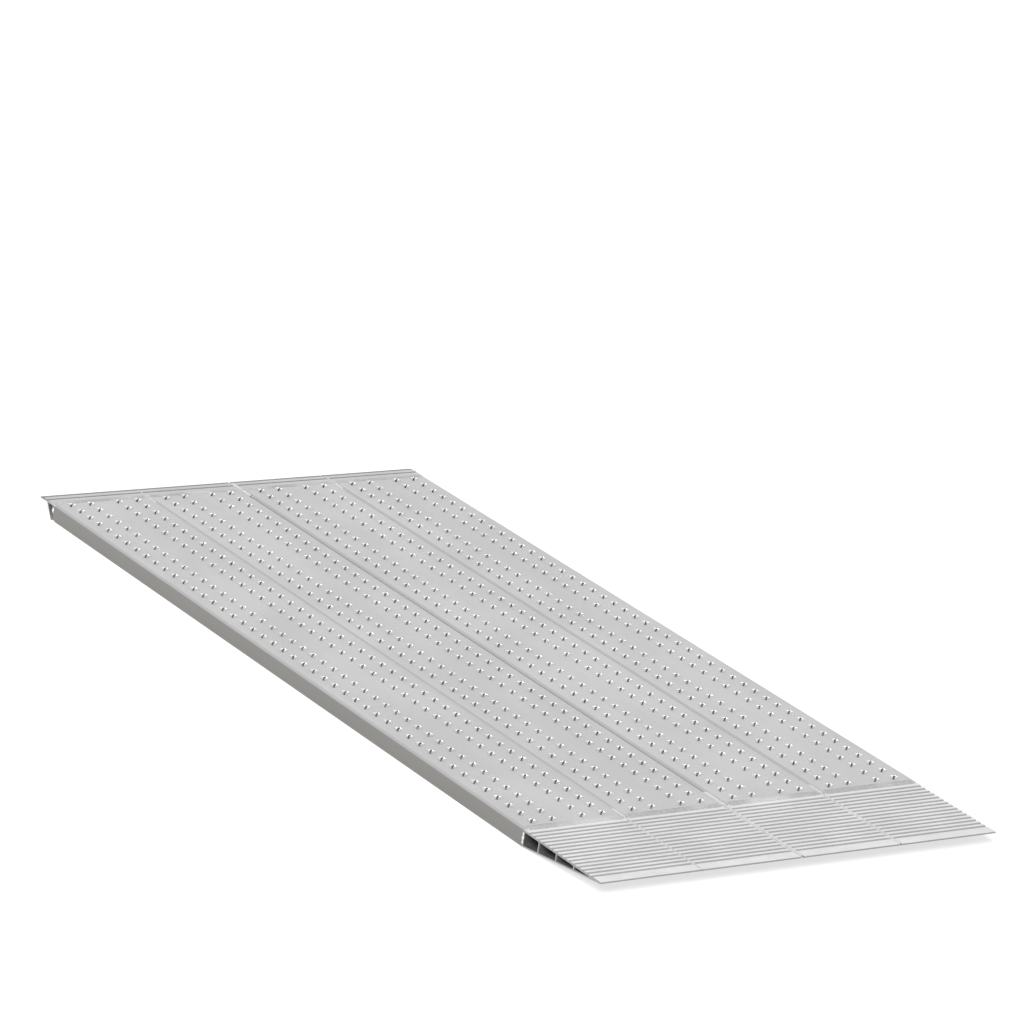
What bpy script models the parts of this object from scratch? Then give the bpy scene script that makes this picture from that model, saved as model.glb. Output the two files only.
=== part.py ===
"""Aluminium loading ramp: four punched deck planks side by side, each with its own lip and toe.

Beads of weld hold each lip and toe to its plank, and fill the ends of the seams, so that the four
make one rigid ramp. Metres, +Z up, +Y uphill towards the lip, +X to the right for someone who
walks up. The ramp lies flat: its origin is on the ground under its middle.
"""

import math

import bmesh
import bpy
from mathutils import Matrix

# Overall plan: the planks from left to right and the seams between them
PLANK_WIDTH = 0.241
PLANK_LENGTH = 1.845
PLANK_HEIGHT = 0.038
SEAM_LEFT = 0.0008
SEAM_MIDDLE = 0.0076
SEAM_RIGHT = 0.0040
SEAT_GAP = 0.0003

# Plank section: a channel that is open below, with flanges and three webs
SKIN_THICKNESS = 0.003
WALL_THICKNESS = 0.003
SHOULDER_RADIUS = 0.008
SHOULDER_STEPS = 3
BEAD_HEIGHT = 0.006
BEAD_STEP = 0.0006
FLANGE_WIDTH = 0.018
FLANGE_THICKNESS = 0.003
WEB_THICKNESS = 0.003
WEB_SPACING = 0.060
WEB_FOOT_WIDTH = 0.010
END_CORNER_RADIUS = 0.018
END_CORNER_STEPS = 5

# Punched studs: rows across the plank, four columns a plank
STUD_PITCH = 0.040
STUD_COLUMN_INNER = 0.036
STUD_COLUMN_OUTER = 0.084
STUD_BASE = 0.0155
STUD_HEIGHT = 0.004
STUD_ROOT = 0.001
FIRST_ROW_INSET = 0.0175
LAST_ROW_INSET = 0.0275

# Toe: a hollow wedge with ribs across its top
TOE_LENGTH = 0.262
TOE_DROP = 0.0015
TOE_TIP_THICKNESS = 0.004
TOE_TIP_ROUND = 0.0012
TOE_TOP_THICKNESS = 0.005
TOE_BOTTOM_THICKNESS = 0.003
TOE_WEB_THICKNESS = 0.003
TOE_FIRST_WEB = 0.053
TOE_WEB_SPACING = 0.059
TOE_LOWEST_HOLLOW = 0.001
TOE_NOSE_STRIP = 0.030
GROOVE_PITCH = 0.01514
GROOVE_FIRST = 0.0195
GROOVE_DEPTH = 0.0022
GROOVE_MOUTH = 0.0076
GROOVE_FLOOR = 0.0040

# Lip: a plate that lies on the vehicle's floor, with a slanted leg under it
LIP_LENGTH = 0.057
LIP_THICKNESS = 0.005
LIP_NOSE_THICKNESS = 0.002
LIP_BEVEL_LENGTH = 0.010
LIP_WEB_THICKNESS = 0.003
LIP_LEG_THICKNESS = 0.004
LIP_LEG_REACH = 0.027
LIP_GROOVE_INSET = 0.025
LIP_GROOVE_WIDTH = 0.0024
LIP_GROOVE_DEPTH = 0.0012

# Beads of weld: the steps on each flank, and how thick they are at their feet
WELD_STEPS = 2
WELD_FOOT = 0.0002

# Beads across a plank's two joints, with their reach on the deck and on the toe or lip
TOE_WELD_ON_DECK = 0.012
TOE_WELD_ON_TOE = 0.007
LIP_WELD_ON_DECK = 0.0055
LIP_WELD_ON_LIP = 0.011
JOINT_WELD_CROWN = 0.0008

# Beads in the valleys between the planks' shoulders, from left to right at the toes
LOW_WELD_LEFT = 0.045
LOW_WELD_MIDDLE = 0.068
LOW_WELD_RIGHT = 0.045
HIGH_WELD = 0.033
SEAM_WELD_CROWN = 0.0006

# Beads over the seams between the toes and between the lips, and how far they stop from the end
CAP_WELD_LAP = 0.0015
CAP_WELD_CROWN = 0.0007
TOE_CAP_STOP = 0.020
LIP_CAP_STOP = 0.014

# Upright beads at the joints of the outer walls
SIDE_WELD_REACH = 0.0025
SIDE_WELD_CROWN = 0.0010

# Mesh making: points this close are one, a cutter runs past what it cuts by this share of its
# size, and edges sharper than this angle stay crisp
WELD_DISTANCE = 0.000001
CUTTER_OVERRUN = 0.25
SHARP_ANGLE = math.radians(35)

# Finishes: base colour, metallic value and roughness
FINISHES = {
    "mill_aluminium": ((0.62, 0.62, 0.61), 0.9, 0.42),
    "ribbed_aluminium": ((0.66, 0.66, 0.65), 0.9, 0.38),
    "weld_aluminium": ((0.70, 0.70, 0.69), 0.9, 0.50),
}

# Places worked out from the sizes above
SEAMS = (SEAM_LEFT, SEAM_MIDDLE, SEAM_RIGHT)
LOW_WELDS = (LOW_WELD_LEFT, LOW_WELD_MIDDLE, LOW_WELD_RIGHT)
PLANK_COUNT = len(SEAMS) + 1
RAMP_WIDTH = PLANK_COUNT * PLANK_WIDTH + sum(SEAMS)
RAMP_LENGTH = LIP_LENGTH + PLANK_LENGTH + TOE_LENGTH + 2 * SEAT_GAP
PLANK_TOP_END = RAMP_LENGTH / 2 - LIP_LENGTH - SEAT_GAP
PLANK_LOW_END = PLANK_TOP_END - PLANK_LENGTH
PLANK_MIDDLE = (PLANK_TOP_END + PLANK_LOW_END) / 2
WALL_FACE = PLANK_WIDTH / 2 - BEAD_STEP
FLAT_HALF = WALL_FACE - SHOULDER_RADIUS
TOE_TOP = PLANK_HEIGHT - TOE_DROP

# Turns of an extruded outline: its first axis runs down or up the ramp, or across it
SQUARE = math.pi / 2
DOWNHILL = (SQUARE, 0, -SQUARE)
UPHILL = (SQUARE, 0, SQUARE)
ACROSS = (SQUARE, 0, 0)


def plank_left_edge(index):
    """Where a plank's left wall stands, counted from 0 at the left."""
    return -RAMP_WIDTH / 2 + index * PLANK_WIDTH + sum(SEAMS[:index])


def plank_middle(index):
    """The middle of a plank, counted from 0 at the left."""
    return plank_left_edge(index) + PLANK_WIDTH / 2


def seam_centre(index):
    """The middle of a seam, counted from 0 at the left."""
    return plank_left_edge(index + 1) - SEAMS[index] / 2


def copies(run, pitch):
    """How many copies at a pitch fit on a run, with one at each of its ends."""
    return int(round(run / pitch, 3)) + 1


def arc(centre, radius, start, end, steps):
    """Points on a round corner, from one angle to another in degrees."""
    turn = (end - start) / steps
    angles = [math.radians(start + turn * step) for step in range(steps + 1)]
    return [(centre[0] + radius * math.cos(a), centre[1] + radius * math.sin(a)) for a in angles]


def clear_scene():
    """Takes every object out of the scene."""
    for item in list(bpy.data.objects):
        bpy.data.objects.remove(item, do_unlink=True)


def make_collection(name):
    collection = bpy.data.collections.new(name)
    bpy.context.scene.collection.children.link(collection)
    return collection


def make_finish(name):
    colour, metallic, roughness = FINISHES[name]
    finish = bpy.data.materials.new(name)
    finish.use_nodes = True
    shader = finish.node_tree.nodes["Principled BSDF"]
    shader.inputs["Base Color"].default_value = (*colour, 1.0)
    shader.inputs["Metallic"].default_value = metallic
    shader.inputs["Roughness"].default_value = roughness
    return finish


def extruded(name, outlines, depth):
    """A closed mesh: the first outline with the others as its holes, depth along local Z."""
    flat = bpy.data.curves.new(name, "CURVE")
    flat.dimensions = "2D"
    flat.fill_mode = "BOTH"
    flat.extrude = depth / 2
    for outline in outlines:
        spline = flat.splines.new("POLY")
        spline.points.add(len(outline) - 1)
        for point, (across, up) in zip(spline.points, outline):
            point.co = (across, up, 0, 1)
        spline.use_cyclic_u = True
    holder = bpy.data.objects.new(name, flat)
    CUTTERS.objects.link(holder)
    depsgraph = bpy.context.evaluated_depsgraph_get()
    mesh = bpy.data.meshes.new_from_object(holder.evaluated_get(depsgraph))
    bpy.data.objects.remove(holder, do_unlink=True)
    shape = bmesh.new()
    shape.from_mesh(mesh)
    bmesh.ops.remove_doubles(shape, verts=shape.verts, dist=WELD_DISTANCE)
    bmesh.ops.beautify_fill(shape, faces=shape.faces, edges=shape.edges)
    return finished(shape, name)


def finished(shape, name):
    """The bmesh written to a new mesh, with its faces pointing out."""
    bmesh.ops.recalc_face_normals(shape, faces=shape.faces)
    mesh = bpy.data.meshes.new(name)
    shape.to_mesh(mesh)
    shape.free()
    return mesh


def add_boolean(item, operation, tool):
    modifier = item.modifiers.new(operation.title(), "BOOLEAN")
    modifier.operation = operation
    modifier.solver = "EXACT"
    modifier.object = tool


def combined(base, *steps):
    """The base mesh after each (operation, mesh) step, as one mesh."""
    holder = bpy.data.objects.new("holder", base)
    CUTTERS.objects.link(holder)
    tools = []
    for operation, mesh in steps:
        tool = bpy.data.objects.new("tool", mesh)
        CUTTERS.objects.link(tool)
        add_boolean(holder, operation, tool)
        tools.append(tool)
    depsgraph = bpy.context.evaluated_depsgraph_get()
    result = bpy.data.meshes.new_from_object(holder.evaluated_get(depsgraph))
    for item in [holder, *tools]:
        bpy.data.objects.remove(item, do_unlink=True)
    return result


def add_cutter(name, mesh):
    """A cutter that stays in the file: hidden from renders and drawn as wire."""
    cutter = bpy.data.objects.new(name, mesh)
    cutter.hide_render = True
    cutter.display_type = "WIRE"
    CUTTERS.objects.link(cutter)
    return cutter


def add_part(name, mesh, finish, location, rotation=(0, 0, 0)):
    """A piece of the ramp."""
    item = bpy.data.objects.new(name, mesh)
    PARTS.objects.link(item)
    if not mesh.materials:
        mesh.materials.append(finish)
        mesh.shade_smooth()
        mesh.set_sharp_from_angle(angle=SHARP_ANGLE)
    item.rotation_euler = rotation
    item.location = location
    return item


def shoulder_curve(clearance):
    """A plank's right shoulder, from its wall to its deck, or a curve round it at a clearance."""
    centre = (FLAT_HALF, PLANK_HEIGHT - SHOULDER_RADIUS)
    return arc(centre, SHOULDER_RADIUS + clearance, 0, 90, SHOULDER_STEPS)


def plank_outline():
    """The plank's section: across from its middle, up from its lower face."""
    half = PLANK_WIDTH / 2
    right_outside = [
        (half, 0),
        (half, BEAD_HEIGHT),
        (WALL_FACE, BEAD_HEIGHT + BEAD_STEP),
        *shoulder_curve(0),
    ]
    left_outside = [(-across, up) for across, up in reversed(right_outside)]
    ceiling = PLANK_HEIGHT - SKIN_THICKNESS
    wall_inside = WALL_FACE - WALL_THICKNESS
    left_flange = [
        (-half + FLANGE_WIDTH, 0),
        (-half + FLANGE_WIDTH, FLANGE_THICKNESS),
        (-wall_inside, FLANGE_THICKNESS),
        (-wall_inside, ceiling),
    ]
    right_flange = [(-across, up) for across, up in reversed(left_flange)]
    webs = []
    for place in (-WEB_SPACING, 0, WEB_SPACING):
        webs += web_outline(place, ceiling)
    return [*right_outside, *left_outside, *left_flange, *webs, *right_flange]


def web_outline(place, ceiling):
    """One web with its foot, from the ceiling at its left round to the ceiling at its right."""
    half = WEB_THICKNESS / 2
    foot = WEB_FOOT_WIDTH / 2
    left = [(-half, ceiling), (-half, FLANGE_THICKNESS), (-foot, FLANGE_THICKNESS), (-foot, 0)]
    right = [(-across, up) for across, up in reversed(left)]
    return [(place + across, up) for across, up in [*left, *right]]


def stud_field():
    """All punched studs of one plank: four-sided peaks on a grid, rooted in the skin."""
    rows = copies(PLANK_LENGTH - FIRST_ROW_INSET - LAST_ROW_INSET, STUD_PITCH)
    slant = STUD_BASE / 2 / STUD_HEIGHT
    base_radius = math.sqrt(2) * (STUD_BASE / 2 + slant * STUD_ROOT)
    middle_height = PLANK_HEIGHT + (STUD_HEIGHT - STUD_ROOT) / 2
    quarter = Matrix.Rotation(math.pi / 4, 4, "Z")
    shape = bmesh.new()
    for row in range(rows):
        along = PLANK_LENGTH / 2 - FIRST_ROW_INSET - row * STUD_PITCH
        for across in (-STUD_COLUMN_OUTER, -STUD_COLUMN_INNER, STUD_COLUMN_INNER, STUD_COLUMN_OUTER):
            bmesh.ops.create_cone(
                shape, cap_ends=True, segments=4, radius1=base_radius, radius2=0,
                depth=STUD_HEIGHT + STUD_ROOT,
                matrix=Matrix.Translation((across, along, middle_height)) @ quarter,
            )
    return finished(shape, "studs")


def plank_blank():
    """A punched plank with square ends, lying along Y with its lower face at zero."""
    channel = extruded("channel", [plank_outline()], PLANK_LENGTH)
    channel.transform(Matrix.Rotation(math.pi / 2, 4, "X"))
    return combined(channel, ("UNION", stud_field()))


def toe_slope():
    """How far the toe's underside rises for each metre of its length."""
    return (TOE_TOP - TOE_TIP_THICKNESS) / TOE_LENGTH


def toe_outline():
    """The toe's outer section: along from the plank's end, up from the plank's lower face."""
    slope = toe_slope()
    lower_tip = TOE_LENGTH * slope
    points = [(0, 0), (TOE_LENGTH - TOE_TIP_ROUND, lower_tip - TOE_TIP_ROUND * slope)]
    points += [(TOE_LENGTH, lower_tip + TOE_TIP_ROUND), (TOE_LENGTH, TOE_TOP - TOE_TIP_ROUND)]
    points += [(TOE_LENGTH - TOE_TIP_ROUND, TOE_TOP)]
    floor = TOE_TOP - GROOVE_DEPTH
    grooves = copies(TOE_LENGTH - TOE_NOSE_STRIP - GROOVE_FIRST, GROOVE_PITCH)
    for number in reversed(range(grooves)):
        middle = GROOVE_FIRST + number * GROOVE_PITCH
        points += [(middle + GROOVE_MOUTH / 2, TOE_TOP), (middle + GROOVE_FLOOR / 2, floor)]
        points += [(middle - GROOVE_FLOOR / 2, floor), (middle - GROOVE_MOUTH / 2, TOE_TOP)]
    points += [(0, TOE_TOP)]
    return points


def toe_cells():
    """The toe's hollows, between its end wall, its webs and the solid nose."""
    slope = toe_slope()
    ceiling = TOE_TOP - TOE_TOP_THICKNESS
    half = TOE_WEB_THICKNESS / 2
    hollow_end = (ceiling - TOE_BOTTOM_THICKNESS - TOE_LOWEST_HOLLOW) / slope
    webs = copies(hollow_end - TOE_FIRST_WEB - TOE_WEB_THICKNESS, TOE_WEB_SPACING)
    web_places = [TOE_FIRST_WEB + number * TOE_WEB_SPACING for number in range(webs)]
    starts = [TOE_WEB_THICKNESS, *[place + half for place in web_places]]
    ends = [*[place - half for place in web_places], hollow_end]
    cells = []
    for start, end in zip(starts, ends):
        low_start = start * slope + TOE_BOTTOM_THICKNESS
        low_end = end * slope + TOE_BOTTOM_THICKNESS
        cells.append([(start, low_start), (end, low_end), (end, ceiling), (start, ceiling)])
    return cells


def lip_outline():
    """The lip's outer section: along from the plank's end, up from the plank's lower face."""
    under = PLANK_HEIGHT - LIP_THICKNESS
    groove = LIP_LENGTH - LIP_GROOVE_INSET
    half_groove = LIP_GROOVE_WIDTH / 2
    return [
        (0, 0),
        (LIP_LEG_THICKNESS, 0),
        (LIP_LEG_REACH, under),
        (LIP_LENGTH, under),
        (LIP_LENGTH, under + LIP_NOSE_THICKNESS),
        (LIP_LENGTH - LIP_BEVEL_LENGTH, PLANK_HEIGHT),
        (groove + half_groove, PLANK_HEIGHT),
        (groove, PLANK_HEIGHT - LIP_GROOVE_DEPTH),
        (groove - half_groove, PLANK_HEIGHT),
        (0, PLANK_HEIGHT),
    ]


def lip_cell():
    """The three-cornered hollow between the lip's end wall, its plate and its leg."""
    under = PLANK_HEIGHT - LIP_THICKNESS
    run = LIP_LEG_REACH - LIP_LEG_THICKNESS
    steepness = under / run
    leg_across = LIP_LEG_THICKNESS * math.hypot(1, steepness) / steepness
    top_reach = LIP_LEG_REACH - leg_across
    lowest = under - (top_reach - LIP_WEB_THICKNESS) * steepness
    return [(LIP_WEB_THICKNESS, lowest), (top_reach, under), (LIP_WEB_THICKNESS, under)]


def flank(foot, crest):
    """A bead's upper side from its foot up to its crest, where it levels out."""
    points = []
    for step in range(WELD_STEPS + 1):
        share = step / WELD_STEPS
        rise = 1 - (1 - share) ** 2
        points.append((
            foot[0] + share * (crest[0] - foot[0]),
            foot[1] + rise * (crest[1] - foot[1]),
        ))
    return points


def upper_side(left_foot, right_foot, crest):
    """A bead's whole upper side, from its right foot over its crest to its left foot."""
    return [*flank(right_foot, crest), *flank(left_foot, crest)[-2::-1]]


def joint_weld(on_deck, on_end, drop):
    """A bead across a joint: along from the plank's end, up from the deck.

    It reaches on_deck over the plank and on_end over the toe or lip, which lies lower by drop.
    """
    seat, low_seat = SEAT_GAP, SEAT_GAP - drop
    step = [(SEAT_GAP, seat), (SEAT_GAP, low_seat)] if drop else []
    deck_foot, end_foot = (-on_deck, seat + WELD_FOOT), (on_end, low_seat + WELD_FOOT)
    crest = (0, seat + WELD_FOOT + JOINT_WELD_CROWN)
    return [(-on_deck, seat), *step, (on_end, low_seat), *upper_side(deck_foot, end_foot, crest)]


def valley_weld(seam):
    """A bead in the valley between two shoulders: across from the seam's middle."""
    middle = (PLANK_WIDTH + seam) / 2
    left = [(across - middle, up) for across, up in shoulder_curve(SEAT_GAP)[1:-1]]
    right = [(-across, up) for across, up in left]
    crest = (0, left[-1][1] + SEAM_WELD_CROWN)
    return [*right[:-1], *upper_side(left[-1], right[-1], crest), *left[-2::-1]]


def cap_weld(seam, surface):
    """A bead over the seam between two toes or two lips: across from the seam's middle."""
    half = seam / 2 + CAP_WELD_LAP
    seat = surface + SEAT_GAP
    foot = seat + WELD_FOOT
    crest = (0, foot + CAP_WELD_CROWN)
    return [(-half, seat), (half, seat), *upper_side((-half, foot), (half, foot), crest)]


def side_weld():
    """An upright bead's section: along from the plank's end, out from the plank's middle."""
    reach = SIDE_WELD_REACH
    wall_seat, end_seat = WALL_FACE + SEAT_GAP, PLANK_WIDTH / 2 + SEAT_GAP
    wall_foot, end_foot = (-reach, wall_seat + WELD_FOOT), (reach, end_seat + WELD_FOOT)
    crest = (0, end_seat + WELD_FOOT + SIDE_WELD_CROWN)
    seats = [(-reach, wall_seat), (0, wall_seat), (0, end_seat), (reach, end_seat)]
    return [*seats, *upper_side(wall_foot, end_foot, crest)]


def add_planks(finish):
    """The four planks, with their lower corners rounded at the lip end."""
    blank = plank_blank()
    corner = add_cutter("end_corner_cutter", end_corner_mesh())
    for index in range(PLANK_COUNT):
        place = (plank_middle(index), PLANK_MIDDLE, 0)
        plank = add_part(f"deck_plank_{index + 1}", blank, finish, place)
        add_boolean(plank, "DIFFERENCE", corner)


def beyond(start, end, share):
    """The point past the end of a line, by a share of its length."""
    return tuple(b + share * (b - a) for a, b in zip(start, end))


def end_corner_mesh():
    """What rounding the planks' lower corners takes away at their lip end."""
    radius = END_CORNER_RADIUS
    curve = arc((PLANK_TOP_END - radius, radius), radius, -90, 0, END_CORNER_STEPS)
    curve[0] = beyond(curve[1], curve[0], CUTTER_OVERRUN)
    curve[-1] = beyond(curve[-2], curve[-1], CUTTER_OVERRUN)
    outside = PLANK_TOP_END + CUTTER_OVERRUN * radius
    below = -CUTTER_OVERRUN * radius
    outline = [*curve, (outside, curve[-1][1]), (outside, below), (curve[0][0], below)]
    cutter = extruded("end_corner", [outline], RAMP_WIDTH + radius)
    cutter.transform(Matrix.Rotation(math.pi / 2, 4, "Z") @ Matrix.Rotation(math.pi / 2, 4, "X"))
    return cutter


def add_ends(toe_finish, lip_finish):
    """A toe below and a lip above each plank."""
    toe = extruded("toe", [toe_outline(), *toe_cells()], PLANK_WIDTH)
    lip = extruded("lip", [lip_outline(), lip_cell()], PLANK_WIDTH)
    for index in range(PLANK_COUNT):
        middle = plank_middle(index)
        toe_place = (middle, PLANK_LOW_END - SEAT_GAP, 0)
        lip_place = (middle, PLANK_TOP_END + SEAT_GAP, 0)
        add_part(f"toe_wedge_{index + 1}", toe, toe_finish, toe_place, DOWNHILL)
        add_part(f"top_lip_{index + 1}", lip, lip_finish, lip_place, UPHILL)


def add_joint_welds(finish):
    """Beads on top of each plank's joints with its toe and its lip."""
    toe_section = joint_weld(TOE_WELD_ON_DECK, TOE_WELD_ON_TOE, TOE_DROP)
    lip_section = joint_weld(LIP_WELD_ON_DECK, LIP_WELD_ON_LIP, 0)
    toe_weld = extruded("toe_weld", [toe_section], 2 * FLAT_HALF)
    lip_weld = extruded("lip_weld", [lip_section], 2 * FLAT_HALF)
    for index in range(PLANK_COUNT):
        middle = plank_middle(index)
        toe_place = (middle, PLANK_LOW_END, PLANK_HEIGHT)
        lip_place = (middle, PLANK_TOP_END, PLANK_HEIGHT)
        add_part(f"toe_weld_{index + 1}", toe_weld, finish, toe_place, DOWNHILL)
        add_part(f"lip_weld_{index + 1}", lip_weld, finish, lip_place, UPHILL)


def add_seam_weld(name, outline, finish, across, start, end):
    """A bead along a seam, between two places up the ramp."""
    weld = extruded(name, [outline], end - start)
    add_part(name, weld, finish, (across, (start + end) / 2, 0), ACROSS)


def add_seam_welds(finish):
    """Beads in both ends of each seam between planks, and over those of the toes and the lips."""
    toe_start = PLANK_LOW_END - SEAT_GAP
    toe_stop = toe_start - TOE_LENGTH + TOE_CAP_STOP
    lip_start = PLANK_TOP_END + SEAT_GAP
    lip_stop = lip_start + LIP_LENGTH - LIP_CAP_STOP
    high_start = PLANK_TOP_END - HIGH_WELD
    for index, seam in enumerate(SEAMS):
        valley = valley_weld(seam)
        runs = {
            "toe_seam_weld": (cap_weld(seam, TOE_TOP), toe_stop, toe_start),
            "low_seam_weld": (valley, PLANK_LOW_END, PLANK_LOW_END + LOW_WELDS[index]),
            "high_seam_weld": (valley, high_start, PLANK_TOP_END),
            "lip_seam_weld": (cap_weld(seam, PLANK_HEIGHT), lip_start, lip_stop),
        }
        for name, (outline, start, end) in runs.items():
            add_seam_weld(f"{name}_{index + 1}", outline, finish, seam_centre(index), start, end)


def add_side_welds(finish):
    """Upright beads at the joints of the two outer walls."""
    top = PLANK_HEIGHT - SHOULDER_RADIUS
    joints = {
        "toe": (PLANK_LOW_END, BEAD_HEIGHT + BEAD_STEP, -1),
        "lip": (PLANK_TOP_END, END_CORNER_RADIUS, 1),
    }
    sides = {"left": (plank_middle(0), -1), "right": (plank_middle(PLANK_COUNT - 1), 1)}
    for joint, (along, bottom, uphill) in joints.items():
        weld = extruded(f"{joint}_side_weld", [side_weld()], top - bottom)
        for side, (middle, outward) in sides.items():
            flip = math.pi if uphill == outward else 0
            place = (middle, along, (top + bottom) / 2)
            add_part(f"{side}_{joint}_weld", weld, finish, place, (flip, 0, uphill * SQUARE))


def main():
    aluminium = make_finish("mill_aluminium")
    weld = make_finish("weld_aluminium")
    add_planks(aluminium)
    add_ends(make_finish("ribbed_aluminium"), aluminium)
    add_joint_welds(weld)
    add_seam_welds(weld)
    add_side_welds(weld)


clear_scene()
PARTS = make_collection("aluminium_loading_ramp")
CUTTERS = make_collection("cutters")
main()
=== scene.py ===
"""The looks of an aluminium loading ramp: punched planks with their toes, lips and welds.

Metres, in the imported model's frame: +Z up out of the deck, +Y uphill to the lip, +X to the right
for someone who walks up. The ramp lies flat on a pale floor, and the camera is turned to match.
"""

import logging
import math
import random
from dataclasses import dataclass
from enum import Enum
from typing import Any, Iterator, Sequence

import bmesh
import bpy
from mathutils import Matrix, Vector, noise
from mathutils.geometry import tessellate_polygon


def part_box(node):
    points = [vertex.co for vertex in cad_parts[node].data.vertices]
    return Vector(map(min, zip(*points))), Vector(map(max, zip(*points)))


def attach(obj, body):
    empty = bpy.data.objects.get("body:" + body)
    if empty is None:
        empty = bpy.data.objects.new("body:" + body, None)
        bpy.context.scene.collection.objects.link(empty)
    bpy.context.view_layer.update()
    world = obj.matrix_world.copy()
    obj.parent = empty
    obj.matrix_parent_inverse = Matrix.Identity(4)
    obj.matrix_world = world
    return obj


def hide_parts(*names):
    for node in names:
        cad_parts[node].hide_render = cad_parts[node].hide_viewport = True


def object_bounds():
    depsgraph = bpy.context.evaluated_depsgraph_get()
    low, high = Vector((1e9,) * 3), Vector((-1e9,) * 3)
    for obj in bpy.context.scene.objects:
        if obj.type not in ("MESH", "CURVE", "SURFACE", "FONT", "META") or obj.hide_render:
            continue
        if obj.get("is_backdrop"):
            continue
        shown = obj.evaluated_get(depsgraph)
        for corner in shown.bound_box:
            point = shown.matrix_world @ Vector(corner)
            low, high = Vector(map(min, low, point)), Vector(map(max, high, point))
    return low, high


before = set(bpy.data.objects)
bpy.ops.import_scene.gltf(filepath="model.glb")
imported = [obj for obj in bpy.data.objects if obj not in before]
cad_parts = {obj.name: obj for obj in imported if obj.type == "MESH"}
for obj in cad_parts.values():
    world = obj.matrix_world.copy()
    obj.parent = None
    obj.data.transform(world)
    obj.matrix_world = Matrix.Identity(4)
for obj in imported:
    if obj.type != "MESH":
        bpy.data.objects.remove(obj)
CAD_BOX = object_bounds()

BODY = "root"
LOG = logging.getLogger("loading_ramp")

Point = tuple[float, float, float]
Flat = tuple[float, float]
Colour = tuple[float, float, float]
Plane = tuple[Point, Point]
Material = bpy.types.Material
Grid = list[list[Point]]
Rows = Iterator[list[tuple[Point, Point]]]

# A point's mark: bright where rubbed and painted with a highlight, a little darker, or black with dirt and
# painted shade.
RUBBED_AND_HIGHLIGHT = 1.0
SLIGHTLY_DARKENED = -0.2
DIRT_AND_SHADE = -1.0

# The share of an edge that the rounding of one of its corners may take.
LONGEST_EASE = 0.45


class Slot(Enum):
    """The material slots that the pieces name."""

    DECK = "deck_aluminium"
    RIB = "rib_aluminium"
    WELD = "weld_aluminium"


class End(Enum):
    """Which way a piece points from its joint with the plank, along Y."""

    TOE = -1
    LIP = 1


class Side(Enum):
    """An outer wall of the ramp, by the sign of X."""

    LEFT = -1
    RIGHT = 1


class Wire:
    """A shader node's output, with arithmetic that adds Math nodes."""

    def __init__(self, graph: "Graph", socket: bpy.types.NodeSocket | None) -> None:
        """Keeps the graph that the socket is in; an output node has no socket of its own."""
        self.graph = graph
        self.socket = socket

    def math(self, operation: str, first: "Wire | float", second: "Wire | float") -> "Wire":
        """A Math node on two values, which Blender knows by the operation's name."""
        return self.graph.add("ShaderNodeMath", {"operation": operation}, {0: first, 1: second})

    def __add__(self, other: "Wire | float") -> "Wire":
        """This plus other."""
        return self.math("ADD", self, other)

    def __radd__(self, other: float) -> "Wire":
        """Other plus this."""
        return self.math("ADD", other, self)

    def __sub__(self, other: "Wire | float") -> "Wire":
        """This less other."""
        return self.math("SUBTRACT", self, other)

    def __rsub__(self, other: float) -> "Wire":
        """Other less this."""
        return self.math("SUBTRACT", other, self)

    def __mul__(self, other: "Wire | float") -> "Wire":
        """This times other."""
        return self.math("MULTIPLY", self, other)

    def __rmul__(self, other: float) -> "Wire":
        """Other times this."""
        return self.math("MULTIPLY", other, self)

    def at_most(self, other: "Wire | float") -> "Wire":
        """The smaller of this and other."""
        return self.math("MINIMUM", self, other)

    def at_least(self, other: "Wire | float") -> "Wire":
        """The larger of this and other."""
        return self.math("MAXIMUM", self, other)


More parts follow.
